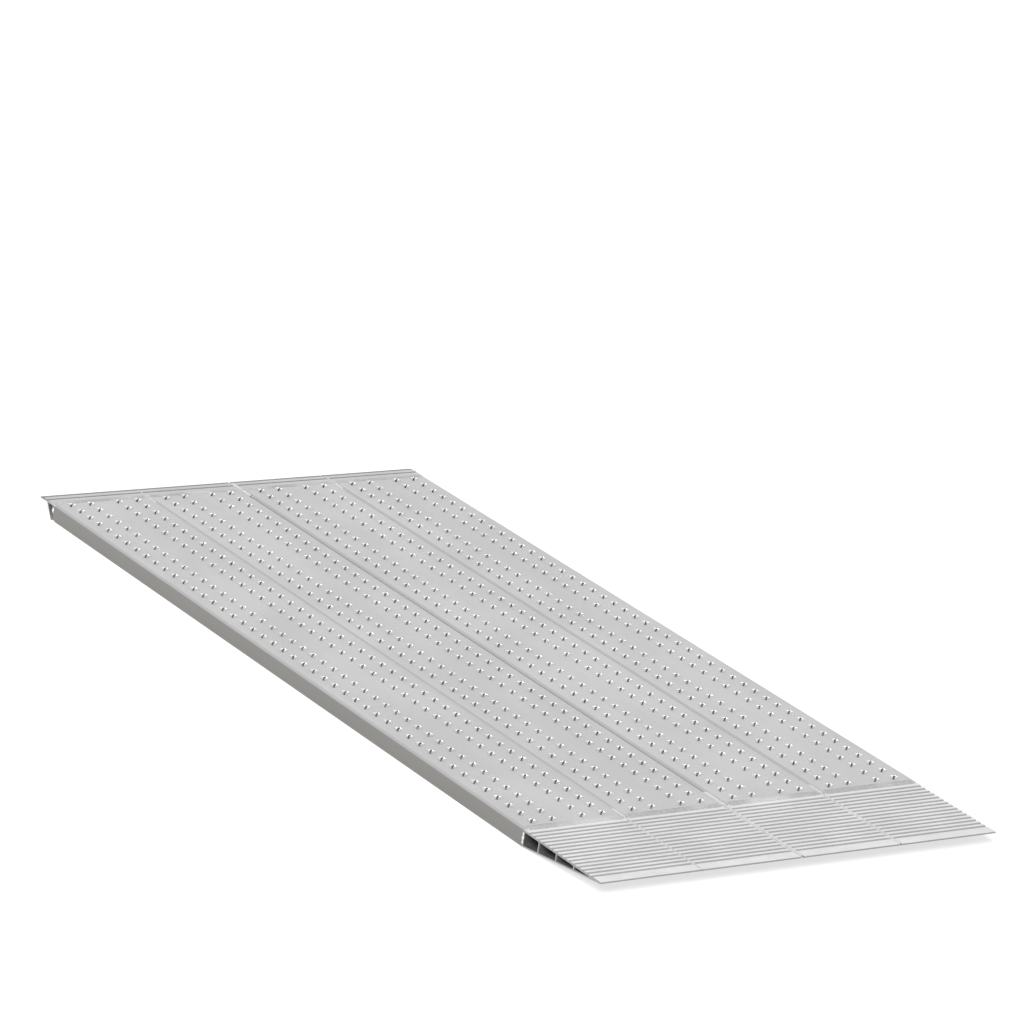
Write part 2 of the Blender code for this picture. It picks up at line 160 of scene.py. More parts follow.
class Graph:
    """The node tree of one material, or of the world."""

    def __init__(self, owner: Material | bpy.types.World) -> None:
        """Starts with no nodes.

        Args:
            owner: What the nodes belong to.
        """
        owner.use_nodes = True
        self.owner = owner
        self.tree = owner.node_tree
        self.tree.nodes.clear()

    def add(self, kind: str, settings: dict[str, Any] | None = None,
            sockets: dict[str | int, Any] | None = None, out: str | int = 0) -> Wire:
        """One node.

        Args:
            kind: The node's type.
            settings: Its properties, which are set first.
            sockets: Values or wires for its inputs, by name or number.
            out: The output that is wanted.

        Returns:
            The wire of that output.
        """
        node = self.tree.nodes.new(kind)
        for name, value in (settings or {}).items():
            setattr(node, name, value)
        for name, value in (sockets or {}).items():
            if isinstance(value, Wire):
                self.tree.links.new(value.socket, node.inputs[name])
            else:
                node.inputs[name].default_value = value
        return Wire(self, node.outputs[out] if node.outputs else None)

    def place(self) -> Wire:
        """The point in the row frame, since each mesh holds its own place."""
        return self.add("ShaderNodeTexCoord", out="Object")

    def axis(self, name: str) -> Wire:
        """The point's place along X, Y or Z."""
        return self.add("ShaderNodeSeparateXYZ", sockets={"Vector": self.place()}, out=name)

    def stretched(self, scale: Point) -> Wire:
        """The point with each of its axes scaled."""
        settings = {"operation": "MULTIPLY"}
        return self.add("ShaderNodeVectorMath", settings, {0: self.place(), 1: scale})

    def noise(self, scale: Point, detail: float, roughness: float = 0.5) -> Wire:
        """Noise, with so many blobs for each metre along the three axes."""
        values = {"Vector": self.stretched(scale), "Scale": 1.0, "Detail": detail, "Roughness": roughness}
        return self.add("ShaderNodeTexNoise", sockets=values)

    def specks(self, density: float) -> Wire:
        """The distance to the nearest of scattered points, in cells."""
        values = {"Vector": self.place(), "Scale": density}
        return self.add("ShaderNodeTexVoronoi", {"feature": "F1"}, values, "Distance")

    def share(self, value: Wire, low: float, high: float) -> Wire:
        """Where a value stands between two others, from 0 to 1, with soft ends."""
        values = {"Value": value, "From Min": low, "From Max": high}
        return self.add("ShaderNodeMapRange", {"interpolation_type": "SMOOTHSTEP"}, values)

    def tint(self, factor: Wire | float, first: Wire | Colour, second: Wire | Colour) -> Wire:
        """A colour between two others.

        Args:
            factor: 0 for the first and 1 for the second.
            first: A colour or a wire.
            second: A colour or a wire.

        Returns:
            The wire of the blended colour.
        """
        first = first if isinstance(first, Wire) else (*first, 1.0)
        second = second if isinstance(second, Wire) else (*second, 1.0)
        values = {"Factor": factor, 6: first, 7: second}
        return self.add("ShaderNodeMix", {"data_type": "RGBA"}, values, 2)

    def wear_and_painted_light(self) -> Wire:
        """The mesh's own mark: 1 where it is rubbed bright and painted with a highlight, -1 where it is
        painted black for dirt and painted shade.
        """
        return self.add("ShaderNodeAttribute", {"attribute_name": "wear_and_painted_light"}, out="Fac")

    def dirt_and_shade(self) -> Wire:
        """How dark the mesh's mark is, for dirt and painted shade, from 0 to 1."""
        return (0 - self.wear_and_painted_light()).at_least(0.0)

    def polish_and_highlight(self) -> Wire:
        """How bright the mesh's mark is, for rubbing and painted highlight, from 0 to 1."""
        return self.wear_and_painted_light().at_least(0.0)

    def background_rays(self) -> Wire:
        """1 for rays that see the white background: from the camera, gloss and glass."""
        rays = [self.add("ShaderNodeLightPath", out=f"Is {kind} Ray")
                for kind in ("Camera", "Glossy", "Transmission")]
        return rays[0].at_least(rays[1]).at_least(rays[2])

    def end(self, shader: Wire) -> Material:
        """Ends the material in any shader."""
        self.add("ShaderNodeOutputMaterial", sockets={"Surface": shader})
        return self.owner


@dataclass(frozen=True)
class MetalFinish:
    """A look of aluminium; each kind mixes its own colour, roughness and relief."""

    name: str
    metallic: float
    roughness: float
    relief: float
    relief_depth: float = 0.0003

    def material(self) -> Material:
        """Builds the nodes.

        Returns:
            The material.
        """
        graph = Graph(bpy.data.materials.new(self.name))
        colour, roughness, height = self.surface(graph)
        bump = {"Height": height, "Strength": self.relief, "Distance": self.relief_depth}
        return graph.end(graph.add("ShaderNodeBsdfPrincipled", sockets={
            "Base Color": colour,
            "Metallic": self.metallic,
            "Roughness": roughness,
            "Normal": graph.add("ShaderNodeBump", sockets=bump),
        }))

    def surface(self, graph: Graph) -> tuple[Wire, Wire, Wire]:
        """The colour, the roughness and the relief's height."""
        raise NotImplementedError


@dataclass(frozen=True)
class MillFinish(MetalFinish):
    """Extruded aluminium that has stood out of doors, with painted shade on its outer walls and below its
    rounded top edges.
    """

    name: str = "weathered_mill_aluminium"
    metallic: float = 0.75
    roughness: float = 0.42
    relief: float = 0.22
    pale: Colour = (0.690, 0.690, 0.688)
    dull: Colour = (0.555, 0.557, 0.557)
    # Dark for pits, and black for the painted shade that the marks call for.
    grime_and_shade: Colour = (0.08, 0.079, 0.076)
    # Bright for rubbed metal, and the painted highlight on the studs' torn faces.
    rubbed_and_highlight: Colour = (0.93, 0.93, 0.93)
    # Painted shade: the darker colour of the rounded top edges and of all below them.
    rounded: Colour = (0.44, 0.445, 0.45)
    # Painted shade: the outer walls' darker colour.
    wall: Colour = (0.215, 0.208, 0.196)
    shade_edge_top: float = 0.0379
    shade_edge_foot: float = 0.0372
    shade_wall_top: float = 0.0362
    shade_wall_foot: float = 0.031
    shade_wall_start: float = 0.4840
    shade_wall_end: float = 0.4868
    cloud: Point = (7.0, 4.0, 7.0)
    drawn: Point = (700.0, 5.0, 700.0)
    spots: Point = (160.0, 120.0, 160.0)
    grain: Point = (1500.0, 1500.0, 1500.0)
    pit_density: float = 260.0

    def surface(self, graph: Graph) -> tuple[Wire, Wire, Wire]:
        """Mixes faint clouds, drawn lines, fine pitting, painted shade and the marks for wear and painted
        light.

        Args:
            graph: The material's nodes.

        Returns:
            The colour, the roughness and the relief's height.
        """
        clouds = graph.share(graph.noise(self.cloud, 4.0, 0.6), 0.32, 0.68)
        lines = graph.noise(self.drawn, 2.0)
        mottle = graph.noise(self.spots, 3.0, 0.65)
        pits = 1 - graph.share(graph.specks(self.pit_density), 0.10, 0.24)
        darkened, polish_and_highlight = graph.dirt_and_shade(), graph.polish_and_highlight()
        height, across = graph.axis("Z"), graph.axis("X")
        outer = graph.share(across.at_least(0 - across), self.shade_wall_start, self.shade_wall_end)
        # Painted shade: from the rounded top edges down, everything turns darker.
        edge = 1 - graph.share(height, self.shade_edge_foot, self.shade_edge_top)
        # Painted shade: the outer walls turn darker below their top.
        flank = outer - graph.share(height, self.shade_wall_foot, self.shade_wall_top)
        shade = (0.35 * clouds + 0.35 * lines + 0.30 * mottle).at_most(1.0)
        colour = graph.tint(shade, self.dull, self.pale)
        # Painted shade below the deck's rounded edges.
        colour = graph.tint(edge * 0.75, colour, self.rounded)
        # Painted shade on the outer walls.
        colour = graph.tint(flank.at_least(0.0) * 0.9, colour, self.wall)
        colour = graph.tint(pits * 0.10, colour, self.grime_and_shade)
        # Painted shade from the dark marks: the studs' holes, the lip's groove, bevel and hollows.
        colour = graph.tint(darkened * (0.4 + 0.5 * mottle), colour, self.grime_and_shade)
        # Painted highlight on the studs' torn faces; the tips are rubbed metal.
        colour = graph.tint(polish_and_highlight, colour, self.rubbed_and_highlight)
        roughness = self.roughness + 0.10 * (clouds - 0.5) + 0.16 * (lines - 0.5)
        roughness = roughness + 0.15 * darkened - 0.12 * polish_and_highlight
        grain = graph.noise(self.grain, 2.0)
        return colour, roughness, lines * 0.6 + grain * 0.25 + mottle * 0.5 - pits * 0.25


@dataclass(frozen=True)
class RibFinish(MetalFinish):
    """The toe's ribbed aluminium: rib tops rubbed bright by wheels, grooves painted dark as painted shade.
    """

    name: str = "rubbed_rib_aluminium"
    metallic: float = 0.75
    roughness: float = 0.36
    relief: float = 0.25
    pale: Colour = (0.90, 0.90, 0.90)
    dull: Colour = (0.79, 0.79, 0.79)
    # Dark for scuffs on the rib tops, and the grooves' painted shade.
    grime_and_shade: Colour = (0.37, 0.37, 0.37)
    # The darkest colour, for the marks: painted shade inside the hollows, and the tip's front face painted
    # dark.
    soot: Colour = (0.19, 0.188, 0.178)
    groove_floor: float = 0.0358
    groove_shade_top: float = 0.03645
    cloud: Point = (9.0, 9.0, 9.0)
    drawn: Point = (5.0, 800.0, 800.0)
    spots: Point = (140.0, 140.0, 140.0)
    scuff: Point = (26.0, 420.0, 420.0)
    grain: Point = (1500.0, 1500.0, 1500.0)

    def surface(self, graph: Graph) -> tuple[Wire, Wire, Wire]:
        """Mixes clouds, drawn lines and scuffs, and darkens the grooves with painted shade.

        Args:
            graph: The material's nodes.

        Returns:
            The colour, the roughness and the relief's height.
        """
        clouds = graph.share(graph.noise(self.cloud, 4.0, 0.6), 0.32, 0.68)
        lines = graph.noise(self.drawn, 2.0)
        mottle = graph.noise(self.spots, 3.0, 0.65)
        scuffs = graph.share(graph.noise(self.scuff, 3.0, 0.7), 0.56, 0.70)
        top = graph.share(graph.axis("Z"), self.groove_floor, self.groove_shade_top)
        shade = (0.5 * clouds + 0.25 * lines + 0.25 * mottle).at_most(1.0)
        colour = graph.tint(shade, self.dull, self.pale)
        # Painted shade: the grooves turn dark below the rib tops.
        groove = ((1 - top) * (0.85 + 0.3 * mottle)).at_most(1.0)
        colour = graph.tint(groove, colour, self.grime_and_shade)
        # Painted shade inside the hollows, and the tip's dark front face, from the marks.
        colour = graph.tint(graph.dirt_and_shade(), colour, self.soot)
        colour = graph.tint(scuffs * top * 0.35, colour, self.grime_and_shade)
        roughness = self.roughness + 0.14 * (clouds - 0.5) + 0.14 * (lines - 0.5)
        roughness = roughness + 0.16 * (1 - top) + 0.08 * scuffs
        grain = graph.noise(self.grain, 2.0)
        return colour, roughness, lines * 0.6 + grain * 0.25 + mottle * 0.5 - scuffs * 0.3


@dataclass(frozen=True)
class WeldFinish(MetalFinish):
    """Weld metal: mottled grey with bright ripples, spatter, sooty edges and painted highlights."""

    name: str = "mottled_weld_aluminium"
    metallic: float = 0.7
    roughness: float = 0.40
    relief: float = 0.45
    relief_depth: float = 0.0004
    # Bright weld metal, and the painted highlight along the marked beads.
    bright_and_highlight: Colour = (0.88, 0.88, 0.88)
    matt: Colour = (0.36, 0.36, 0.355)
    soot: Colour = (0.27, 0.27, 0.265)
    run: Point = (9.0, 9.0, 9.0)
    spots: Point = (210.0, 210.0, 210.0)
    crumb: Point = (900.0, 900.0, 900.0)
    spatter_density: float = 420.0

    def surface(self, graph: Graph) -> tuple[Wire, Wire, Wire]:
        """Mixes long runs, blotches, crumbs, spatter, soot and painted highlights from the marks.

        Args:
            graph: The material's nodes.

        Returns:
            The colour, the roughness and the relief's height.
        """
        blotch = graph.share(graph.noise(self.spots, 4.0, 0.7), 0.36, 0.64)
        crumbs = graph.noise(self.crumb, 3.0, 0.6)
        spatter = 1 - graph.share(graph.specks(self.spatter_density), 0.12, 0.32)
        darkened, polish_and_highlight = graph.dirt_and_shade(), graph.polish_and_highlight()
        runs = graph.share(graph.noise(self.run, 2.0), 0.38, 0.62)
        shade = blotch * 0.25 + crumbs * 0.20 + runs * 0.35
        colour = graph.tint(shade, self.matt, self.bright_and_highlight)
        colour = graph.tint(darkened * (0.5 + 0.5 * crumbs), colour, self.soot)
        # Painted highlight along the middles of the seam beads and on the side beads, partly bright weld
        # metal.
        colour = graph.tint(polish_and_highlight * 0.7, colour, self.bright_and_highlight)
        roughness = self.roughness + 0.24 * (blotch - 0.5) + 0.2 * darkened - 0.14 * polish_and_highlight
        return colour, roughness, blotch * 0.5 + crumbs * 0.4 + spatter * 0.5


@dataclass(frozen=True)
class FloorFinish:
    """A plain pale floor that keeps the shadow and meets the white background."""

    name: str = "pale_floor"
    colour: Colour = (0.38, 0.38, 0.38)
    lift: float = 0.66

    def material(self) -> Material:
        """Builds the nodes.

        Returns:
            The material.
        """
        graph = Graph(bpy.data.materials.new(self.name))
        seen = graph.background_rays()
        paint = graph.add("ShaderNodeBsdfDiffuse", sockets={"Color": (*self.colour, 1.0)})
        glow = graph.add("ShaderNodeEmission", sockets={"Strength": seen * self.lift})
        return graph.end(graph.add("ShaderNodeAddShader", sockets={0: paint, 1: glow}))


class Shape:
    """The points, faces and wear marks of one piece."""

    def __init__(self) -> None:
        """Starts with nothing."""
        self.points: list[Point] = []
        self.faces: list[list[int]] = []
        self.wear_and_painted_light: dict[int, float] = {}
        self.known: dict[Point, int] = {}

    def index(self, point: Point) -> int:
        """Finds or adds a point, which all the faces that meet there share.

        Args:
            point: Its place.

        Returns:
            Its number.
        """
        key = (round(point[0], 7), round(point[1], 7), round(point[2], 7))
        if key not in self.known:
            self.known[key] = len(self.points)
            self.points.append(point)
        return self.known[key]

    def face(self, corners: Sequence[Point]) -> None:
        """One face, unless its corners fall together."""
        numbers = list(dict.fromkeys(self.index(corner) for corner in corners))
        self.faces += [numbers] if len(numbers) > 2 else []

    def mark(self, points: Sequence[Point], wear_and_painted_light: float) -> None:
        """Marks points as bright, above 0, for rubbing and painted highlight, or dark, below 0, for dirt and
        painted shade.
        """
        for point in points:
            self.wear_and_painted_light[self.index(point)] = wear_and_painted_light

    def band(self, first: Sequence[Point], second: Sequence[Point], closed: bool = False) -> None:
        """A row of quads between two lines of points, which joins their ends if it is closed."""
        for step in range(-1 if closed else 0, len(first) - 1):
            self.face([first[step], first[step + 1], second[step + 1], second[step]])

    def cap(self, loops: Sequence[Sequence[Point]]) -> None:
        """A flat face with holes.

        Args:
            loops: Its outer edge, then the edges of its holes.
        """
        corners = [corner for loop in loops for corner in loop]
        for triangle in tessellate_polygon([[Vector(corner) for corner in loop] for loop in loops]):
            self.face([corners[number] for number in triangle])

    def slab(self, top: Grid, bottom: Grid, ends: Sequence[int] = (0, -1)) -> None:
        """A body between two grids of points.

        Args:
            top: The upper rows.
            bottom: As many lower rows, each as long.
            ends: Which rows have a face between them, as indexes.
        """
        for row in range(len(top) - 1):
            self.band(top[row], top[row + 1])
            self.band(bottom[row], bottom[row + 1])
        for end in ends:
            self.band(top[end], bottom[end])
        for side in (0, -1):
            self.band([row[side] for row in top], [row[side] for row in bottom])

    def trimmed(self, planes: Sequence[Plane]) -> bmesh.types.BMesh:
        """The shape with what lies beyond some planes cut off and the cuts closed.

        Args:
            planes: A point and an outward direction for each.

        Returns:
            A bmesh whose faces point out, with the wear on its points.
        """
        body = bmesh.new()
        layer = body.verts.layers.float.new("wear_and_painted_light")
        corners = [body.verts.new(point) for point in self.points]
        for number, wear_and_painted_light in self.wear_and_painted_light.items():
            corners[number][layer] = wear_and_painted_light
        for numbers in self.faces:
            body.faces.new([corners[number] for number in numbers])
        for place, outward in planes:
            everything = [*body.verts, *body.edges, *body.faces]
            cut = bmesh.ops.bisect_plane(
                body, geom=everything, plane_co=place, plane_no=outward, clear_outer=True,
            )
            edges = [item for item in cut["geom_cut"] if isinstance(item, bmesh.types.BMEdge)]
            bmesh.ops.holes_fill(body, edges=edges)
        bmesh.ops.recalc_face_normals(body, faces=body.faces)
        return body


def mirrored(points: Sequence[Flat]) -> list[Flat]:
    """The same points on the other side of the middle, in the opposite order."""
    return [(-across, up) for across, up in reversed(points)]


def new_object(name: str, data: bpy.types.ID) -> bpy.types.Object:
    """Makes an object in the scene.

    Args:
        name: Its name.
        data: Its mesh, light or camera.

    Returns:
        The object.
    """
    item = bpy.data.objects.new(name, data)
    bpy.context.scene.collection.objects.link(item)
    return item


def eased(points: Sequence[Flat], radius: float, steps: int = 2) -> list[Flat]:
    """A closed outline with its corners rounded.

    Args:
        points: The outline's corners.
        radius: How far from a corner the rounding starts, unless the edge is too short.
        steps: The number of facets on each corner.

    Returns:
        The rounded outline.
    """
    rounded: list[Flat] = []
    for before, corner, after in zip([points[-1], *points], points, [*points[1:], points[0]]):
        middle = Vector(corner)
        back, ahead = Vector(before) - middle, Vector(after) - middle
        start = middle + back.normalized() * min(radius, LONGEST_EASE * back.length)
        stop = middle + ahead.normalized() * min(radius, LONGEST_EASE * ahead.length)
        for step in range(steps + 1):
            share = step / steps
            point = start.lerp(middle, share).lerp(middle.lerp(stop, share), share)
            rounded.append((point.x, point.y))
    return rounded


def arc(centre: Flat, radius: float, start: float, end: float, steps: int) -> list[Flat]:
    """Points on a round corner, from one angle to another in degrees."""
    turns = [math.radians(start + (end - start) * step / steps) for step in range(steps + 1)]
    return [(centre[0] + radius * math.cos(turn), centre[1] + radius * math.sin(turn)) for turn in turns]


def wobble(along: float, across: float, size: float, seed: float) -> float:
    """A smooth value from about -1 to 1 that changes over so many metres."""
    return noise.noise(Vector((along / size, across / size, seed)))


@dataclass(kw_only=True)
class Piece:
    """What every made piece has: a node that it stands for, a finish and a slot."""

    node: str
    finish: Material
    slot: Slot = Slot.DECK
    sharp_angle: float = math.radians(38)

    def hand_over(self, shape: Shape, planes: Sequence[Plane] = ()) -> None:
        """Makes the object, dresses it and hands it to the frame.

        Args:
            shape: The piece's points and faces.
            planes: Cuts, each a point and an outward direction.
        """
        name = f"fine_{self.node}"
        mesh = bpy.data.meshes.new(name)
        body = shape.trimmed(planes)
        body.to_mesh(mesh)
        body.free()
        mesh.materials.append(self.finish)
        mesh.shade_smooth()
        mesh.set_sharp_from_angle(angle=self.sharp_angle)
        item = new_object(name, mesh)
        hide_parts(self.node)
        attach(item, BODY)
        LOG.info("%s: %d faces", name, len(mesh.polygons))


@dataclass(frozen=True)
class Quarter:
    """Where one of a stud's four petals lies, and on which side it has the slit."""

    middle: Flat
    angle: float
    slit_side: int


@dataclass(kw_only=True)
class Stud:
    """A punched stud: the skin is slit along one diagonal, torn along the other and stands up."""

    shape: Shape
    chance: random.Random
    deck: float
    under: float
    base: float = 0.0155
    skirt: float = 0.0022
    skirt_rise: float = 0.0003
    slit: float = 0.0028
    tear: float = 0.0003
    run_out: float = 0.0013
    length: float = 0.0041
    first_slope: float = math.radians(16)
    last_slope: float = math.radians(118)
    root_thickness: float = 0.0026
    tip_thickness: float = 0.0015
    undercut: float = 0.0002
    columns: tuple[float, ...] = (-1.0, -0.84, 0.84, 1.0)
    rows: int = 5
    spread: float = 0.05
    twist: float = math.radians(2.0)

    def build(self, middle: Flat, tops: Flat, unders: Flat, along: Flat) -> None:
        """Adds a stud with the skin round it.

        Args:
            middle: The stud's place across and along.
            tops: The skin's reach across, on the deck.
            unders: Its reach across, on its underside.
            along: Its reach along.
        """
        half = self.base / 2
        turn = self.chance.uniform(-self.twist, self.twist)
        sides = []
        for number in range(4):
            quarter = Quarter(middle, turn + number * math.pi / 2, 1 - 2 * (number % 2))
            outer = self.row(quarter, half + self.skirt, self.deck, half + self.skirt / 2)
            hinge = self.row(quarter, half, self.deck + self.skirt_rise, half, self.run_out)
            below = self.row(quarter, half + self.undercut, self.under, half, self.run_out)
            self.shape.mark(hinge, SLIGHTLY_DARKENED)
            # Painted shade: the skin's underside round the hole and the hinge's corner at the slit are
            # painted black.
            self.shape.mark([*below, hinge[-1] if quarter.slit_side > 0 else hinge[0]], DIRT_AND_SHADE)
            self.petal(quarter, hinge, below)
            sides.append((outer, hinge, below))
        outers, hinges, belows = zip(*sides)
        self.skin(outers, self.deck, tops, along)
        self.skin(belows, self.under, unders, along)
        self.shape.band(sum(outers, []), sum(hinges, []), closed=True)
        for side in range(-1, 3):
            self.shape.face([hinges[side][-1], hinges[side + 1][0], belows[side + 1][0], belows[side][-1]])

    def row(self, quarter: Quarter, out: float, up: float, reach: float,
            run_out: float = 0.0) -> list[Point]:
        """A row of points across a petal.

        Args:
            quarter: The petal's place.
            out: How far the row lies from the stud's middle.
            up: Its height.
            reach: How far it reaches aside, but for the slit and the tear.
            run_out: How far its corner at the slit runs out along the slit.

        Returns:
            The points, from side to side.
        """
        across, along = quarter.middle
        cosine, sine = math.cos(quarter.angle), math.sin(quarter.angle)
        points = []
        for side in self.columns:
            slit = side * quarter.slit_side > 0
            run = run_out if slit and abs(side) == 1 else 0.0
            ahead = out + run
            aside = side * (reach - (self.slit if slit else self.tear) + run)
            points.append((across + cosine * ahead - sine * aside,
                           along + sine * ahead + cosine * aside, up))
        return points

    def petal(self, quarter: Quarter, hinge: list[Point], below: list[Point]) -> None:
        """Adds a petal, which is open only at its hinge, where the skin takes over.

        Args:
            quarter: The petal's place.
            hinge: The first upper row.
            below: The first lower row.
        """
        out, rise = self.base / 2, self.skirt_rise
        step = self.length / self.rows * (1 + self.chance.uniform(-self.spread, self.spread))
        upper, lower = [hinge], [below]
        for row in range(1, self.rows + 1):
            share = row / self.rows
            bend = share - 0.5 / self.rows
            bend = bend * bend * (3 - 2 * bend)
            slope = self.first_slope + (self.last_slope - self.first_slope) * bend
            out -= step * math.cos(slope)
            rise += step * math.sin(slope)
            thick = self.root_thickness + (self.tip_thickness - self.root_thickness) * share
            inner, sunk = out - thick * math.sin(slope), rise - thick * math.cos(slope)
            upper.append(self.row(quarter, out, self.deck + rise, out))
            lower.append(self.row(quarter, inner, self.deck + sunk, inner))
        self.shape.slab(upper, lower, ends=(-1,))
        for row in range(1, self.rows + 1):
            # Painted shade on the lower faces near the hinge, and a painted highlight on those towards the
            # tip.
            self.shape.mark(lower[row], RUBBED_AND_HIGHLIGHT if row > self.rows / 2 else DIRT_AND_SHADE)
            self.shape.mark(upper[row], SLIGHTLY_DARKENED)
        self.shape.mark(upper[-1], RUBBED_AND_HIGHLIGHT)

    def skin(self, ring: Sequence[list[Point]], level: float, across: Flat, along: Flat) -> None:
        """The flat skin between the stud's ring and the edge of its cell.

        Args:
            ring: The stud's four sides.
            level: The skin's height.
            across: The cell's reach across.
            along: Its reach along.
        """
        left, right = across
        low, high = along
        corners = [(right, low, level), (right, high, level), (left, high, level), (left, low, level)]
        for side in range(-1, 3):
            self.shape.face([corners[side], corners[side + 1], *reversed(ring[side])])
            self.shape.face([corners[side + 1], ring[side + 1][0], ring[side][-1]])


@dataclass(kw_only=True)
class DeckPlank(Piece):
    """One deck plank: a channel that is open below, with four columns of punched studs."""

    seed: int
    stud_peak: float = 0.004
    skin: float = 0.003
    wall: float = 0.003
    shoulder: float = 0.008
    shoulder_steps: int = 7
    far_edge: float = 0.002
    far_edge_steps: int = 3
    foot_bead: float = 0.006
    foot_step: float = 0.0006
    foot_ease: float = 0.0006
    flange: float = 0.018
    flange_thickness: float = 0.003
    web: float = 0.003
    web_spacing: float = 0.060
    web_foot: float = 0.010
    end_corner: float = 0.018
    corner_steps: int = 8
    pitch: float = 0.040
    columns: tuple[float, ...] = (-0.084, -0.036, 0.036, 0.084)
    first_row: float = 0.0175
    last_row: float = 0.0275

    def __post_init__(self) -> None:
        """Reads the plank's place from its node."""
        low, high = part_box(self.node)
        self.middle = (low.x + high.x) / 2
        self.half = (high.x - low.x) / 2
        self.low, self.top = low.y, high.y
        self.deck = high.z - self.stud_peak
        self.ceiling = self.deck - self.skin
        self.wall_face = self.half - self.foot_step
        self.inside = self.wall_face - self.wall
        self.webs = (-self.web_spacing, 0.0, self.web_spacing)

    def strips(self) -> list[tuple[Flat, Flat]]:
        """Parts the skin into a strip for each column of studs.

        Returns:
            Each strip's reach across, on the deck and on the skin's underside.
        """
        webs, half = [self.middle + web for web in self.webs], self.web / 2
        tops = [self.middle + self.shoulder - self.wall_face, *webs,
                self.middle + self.wall_face - self.far_edge]
        starts = [self.middle - self.inside, *[web + half for web in webs]]
        ends = [*[web - half for web in webs], self.middle + self.inside]
        return list(zip(zip(tops, tops[1:]), zip(starts, ends)))

    def section(self) -> list[Flat]:
        """Draws the plank's section.

        Returns:
            Its outline: across from the plank's middle, and up.
        """
        right = self.flank(self.far_edge, self.far_edge_steps)
        tops = [(web, self.deck) for web in reversed(self.webs)]
        left = mirrored(self.flank(self.shoulder, self.shoulder_steps))
        edge, thick = self.flange - self.half, self.flange_thickness
        flange = [(edge, 0.0), (edge, thick), (-self.inside, thick), (-self.inside, self.ceiling)]
        half, foot = self.web / 2, self.web_foot / 2
        web = [(-half, self.ceiling), (-half, thick), (-foot, thick), (-foot, 0.0)]
        webs = [(middle + across, up) for middle in self.webs for across, up in [*web, *mirrored(web)]]
        return [*right, *tops, *left, *flange, *webs, *mirrored(flange)]

    def flank(self, radius: float, steps: int) -> list[Flat]:
        """One outer side of the section, on the right.

        Args:
            radius: How far its top edge is rounded.
            steps: The number of facets there.

        Returns:
            The points from the foot up and round to the deck.
        """
        bead, ease = self.foot_bead, self.foot_ease
        edge = arc((self.wall_face - radius, self.deck - radius), radius, 0, 90, steps)
        return [(self.half - ease, 0.0), (self.half, ease), (self.half, bead - ease),
                (self.half - ease / 2, bead), (self.wall_face, bead + self.foot_step), *edge]

    def rows(self) -> list[float]:
        """Where the stud rows lie along the ramp, from the lip down."""
        count = round((self.top - self.low - self.first_row - self.last_row) / self.pitch) + 1
        return [self.top - self.first_row - row * self.pitch for row in range(count)]

    def corner_planes(self) -> list[Plane]:
        """Finds the cuts that round the plank's lower corner at the lip.

        Returns:
            A plane for each facet.
        """
        radius = self.end_corner
        curve = arc((self.top - radius, radius), radius, -90, 0, self.corner_steps)
        return [((0.0, y, z), (0.0, next_z - z, y - next_y))
                for (y, z), (next_y, next_z) in zip(curve, curve[1:])]

    def build(self) -> None:
        """Builds the channel with its studs and hands it over."""
        shape = Shape()
        rows = self.rows()
        breaks = [self.top, *[(row + after) / 2 for row, after in zip(rows, rows[1:])], self.low]
        section = self.section()
        for (across, up), (next_across, next_up) in zip(section, [*section[1:], section[0]]):
            if up == next_up and up in (self.deck, self.ceiling):
                continue
            first = [(self.middle + across, y, up) for y in breaks]
            second = [(self.middle + next_across, y, next_up) for y in breaks]
            shape.band(first, second)
        for y in (self.top, self.low):
            shape.cap([[(self.middle + across, y, up) for across, up in section]])
        stud = Stud(shape=shape, chance=random.Random(self.seed), deck=self.deck, under=self.ceiling)
        for (tops, unders), column in zip(self.strips(), self.columns):
            for row, along in zip(rows, zip(breaks[1:], breaks)):
                stud.build((self.middle + column, row), tops, unders, along)
        self.hand_over(shape, self.corner_planes())


@dataclass(kw_only=True)
class Extrusion(Piece):
    """A toe or a lip: one section with hollows, cut off square at the plank's two sides."""

    end: End
    # Painted shade starts this far inside the hollows from each cut end.
    painted_shade_start: float = 0.003
    margin: float = 0.000001
    facets: int = 3

    def __post_init__(self) -> None:
        """Reads the piece's place from its node."""
        self.box_low, self.box_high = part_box(self.node)
        self.length = self.box_high.y - self.box_low.y
        self.joint = self.box_high.y if self.end is End.TOE else self.box_low.y
        self.top = self.box_high.z

    def outlines(self) -> list[list[Flat]]:
        """The outer outline and its hollows: along from the joint, and up."""
        raise NotImplementedError

    def is_painted_dark(self, along: float, up: float) -> bool:
        """Whether a point of the section's outline is painted dark."""
        raise NotImplementedError

    def cut_end(self, across: float) -> list[list[Point]]:
        """The section's outlines at one of its sides."""
        sign = self.end.value
        return [[(across, self.joint + sign * along, up) for along, up in outline]
                for outline in self.outlines()]

    def build(self) -> None:
        """Extrudes the section, whose hollows are painted dark as painted shade from a little behind each
        cut end, and hands it over.
        """
        shape = Shape()
        left, right = self.cut_end(self.box_low.x), self.cut_end(self.box_high.x)
        shape.band(left[0], right[0], closed=True)
        for first, second in zip(left[1:], right[1:]):
            near = [(x + self.painted_shade_start, y, z) for x, y, z in first]
            far = [(x - self.painted_shade_start, y, z) for x, y, z in second]
            for one, other in ((first, near), (near, far), (far, second)):
                shape.band(one, other, closed=True)
            # Painted shade inside the hollows.
            shape.mark(near + far, DIRT_AND_SHADE)
        shape.cap(left)
        shape.cap(right)
        shape.mark([(x, y, z) for x, y, z in shape.points
                    if self.is_painted_dark((y - self.joint) * self.end.value, z)], DIRT_AND_SHADE)
        self.hand_over(shape)


